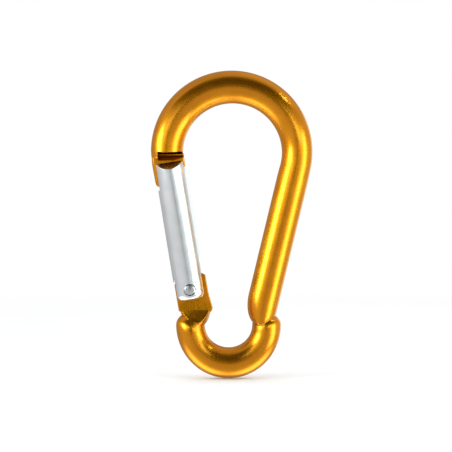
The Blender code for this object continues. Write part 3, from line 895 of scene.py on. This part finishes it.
def make_floor():
    """A pale floor that fades into the background, so that no horizon shows."""
    shape = bmesh.new()
    bmesh.ops.create_circle(shape, cap_ends=True, radius=3.0, segments=96)
    mesh = bpy.data.meshes.new("floor")
    shape.to_mesh(mesh)
    shape.free()
    floor = bpy.data.objects.new("floor", mesh)
    bpy.context.scene.collection.objects.link(floor)
    floor.location.z = FLOOR_Z
    floor.visible_glossy = False
    n = Nodes("floor")
    place = n.add("NewGeometry").outputs["Position"]
    distance = n.add("VectorMath", {0: place}, operation="LENGTH").outputs["Value"]
    mottle = n.noise(place, (40.0, 40.0, 40.0), 3.0)
    colour = n.mix(n.remap(mottle, 0.3, 0.7), (0.87, 0.87, 0.87, 1),
                   (0.90, 0.90, 0.90, 1))
    n.set(n.surface.inputs["Base Color"], colour)
    n.set(n.surface.inputs["Roughness"], 0.7)
    n.set(n.surface.inputs["Specular IOR Level"], 0.1)
    glow = n.add("Emission", {"Color": (1, 1, 1, 1), "Strength": 1.0})
    fade = n.remap(distance, 0.05, 0.45)
    blend = n.add("MixShader", {0: fade, 1: n.surface.outputs[0], 2: glow.outputs[0]})
    output = n.tree.nodes["Material Output"]
    n.tree.links.new(blend.outputs[0], output.inputs["Surface"])
    mesh.materials.append(n.material)


COOL_WHITE = (0.80, 1.0, 0.97, 1)  # the lamps' colour, which turns the gold's highlights yellow


def softbox(name, azimuth, elevation, width, height, radiance, distance, roll=0.0,
            shape="RECTANGLE"):
    """A soft lamp facing the hook from the given distance, with its size in metres.

    Azimuth 0 is at the camera and 90 at its right. Angles are in degrees."""
    lamp = bpy.data.lights.new(name, "AREA")
    lamp.shape = shape
    lamp.size = width
    lamp.size_y = height
    lamp.energy = radiance * math.pi * width * height
    lamp.color = COOL_WHITE[:3]
    obj = bpy.data.objects.new(name, lamp)
    bpy.context.scene.collection.objects.link(obj)
    a, e = math.radians(azimuth), math.radians(elevation)
    away = Vector((math.sin(a) * math.cos(e), -math.cos(a) * math.cos(e), math.sin(e)))
    obj.location = away * distance
    obj.rotation_mode = "QUATERNION"
    turn = Quaternion((0.0, 0.0, 1.0), math.radians(roll))
    obj.rotation_quaternion = away.to_track_quat("Z", "Y") @ turn
    obj.visible_camera = False


# Brightness of the room that the metal reflects, as shares of the white background
ROOM_ABOVE = 0.07             # a dark wedge in front, wide overhead and narrow below
ROOM_BELOW = 0.60
ROOM_LEFT = 0.72
SIDE_LEFT = 0.55
SIDE_RIGHT = 0.75
ROOM_BEHIND = 0.48
RING = 2.3                    # added in a bright ring in the floor around the hook
DIFFUSE_LEVEL = 1.12          # what lights the floor, whatever the metal reflects

# Where its parts meet, as (start, end) of a soft change along a direction's right, up or front
WEDGE_POWER = 0.40            # how fast the dark wedge narrows downwards
WEDGE_EDGE = (-0.40, -0.24)
WEDGE_FRONT = (0.25, 0.50)
LEFT_EDGE = (-0.20, -0.60)
SIDES_EDGE = (-0.30, 0.30)
BACK_EDGE = (-0.40, -0.80)
FRONT_EDGE = (-0.08, 0.10)
RING_BACK = (-0.42, -0.08)
RING_FRONT = (0.50, 0.15)
RING_ASIDE = (-0.05, 0.40, 0.45, 1.1)  # weaker straight ahead, at 0.45, than to the sides, at 1.1
RING_DOWN = (-0.35, -0.75)


def make_world():
    """Even white light, which the metal reflects as a room: dark above the camera, pale below."""
    world = bpy.data.worlds.new("studio")
    bpy.context.scene.world = world
    world.use_nodes = True
    n = Nodes.of(world.node_tree)
    direction = n.add("TexCoord").outputs["Generated"]
    split = n.add("SeparateXYZ", {0: direction})
    right, up = split.outputs["X"], split.outputs["Z"]
    front = n.maths("MULTIPLY", split.outputs["Y"], -1.0)
    aside = n.maths("ABSOLUTE", right)

    wedge = n.maths("SUBTRACT", up, n.maths("POWER", aside, WEDGE_POWER))
    dark = n.maths("MULTIPLY", n.smooth(wedge, *WEDGE_EDGE), n.smooth(front, *WEDGE_FRONT))
    below = n.smooth(right, *LEFT_EDGE, ROOM_BELOW, ROOM_LEFT)
    before = n.blend(dark, below, ROOM_ABOVE)
    sides = n.smooth(right, *SIDES_EDGE, SIDE_LEFT, SIDE_RIGHT)
    behind = n.blend(n.smooth(front, *BACK_EDGE), sides, ROOM_BEHIND)
    level = n.blend(n.smooth(front, *FRONT_EDGE), behind, before)

    ring = n.maths("MULTIPLY", n.smooth(front, *RING_BACK), n.smooth(front, *RING_FRONT))
    ring = n.maths("MULTIPLY", ring, n.smooth(aside, *RING_ASIDE))
    ring = n.maths("MULTIPLY", ring, n.smooth(up, *RING_DOWN))
    level = n.maths("ADD", level, n.maths("MULTIPLY", ring, RING))

    path = n.add("LightPath")
    level = n.blend(path.outputs["Is Diffuse Ray"], level, DIFFUSE_LEVEL)
    level = n.blend(path.outputs["Is Camera Ray"], level, 1.0)
    background = n.tree.nodes["Background"]
    n.set(background.inputs["Color"], n.mix(ring, (1, 1, 1, 1), COOL_WHITE))
    n.set(background.inputs["Strength"], level)


def make_studio():
    make_world()
    make_floor()
    softbox("left_box", -55, 12.5, 0.13, 0.085, 3.3, 0.21, -12, "ELLIPSE")
    softbox("left_core", -54, 11, 0.026, 0.045, 10.0, 0.20)
    softbox("left_strip", -22, 15, 0.070, 0.026, 2.0, 0.22)
    softbox("right_box", 59, -6, 0.12, 0.20, 3.5, 0.22, 10)
    softbox("right_strip", 26, 13, 0.080, 0.030, 2.8, 0.22)
    softbox("small_box", 66, 45, 0.06, 0.04, 12.0, 0.5)
    softbox("right_back_box", 145, 0, 0.15, 0.25, 1.0, 0.3)


# ---------------------------------------------------------------------------- camera
VIEW_WIDTH = 88.17 * MM       # what the frame takes in at the hook
VIEW_CENTRE = Vector((-1.14, 0.0, -0.31)) * MM
LENS = 135.0
SENSOR = 36.0


def make_camera():
    data = bpy.data.cameras.new("camera")
    data.lens = LENS
    data.sensor_width = SENSOR
    data.clip_start = 0.01
    data.clip_end = 20.0
    camera = bpy.data.objects.new("camera", data)
    bpy.context.scene.collection.objects.link(camera)
    camera.location = VIEW_CENTRE + Vector((0.0, -VIEW_WIDTH * LENS / SENSOR, 0.0))
    camera.rotation_euler = (math.radians(90), 0.0, 0.0)
    bpy.context.scene.camera = camera


make_pieces()
make_studio()
make_camera()
bpy.context.scene.view_settings.view_transform = "Standard"
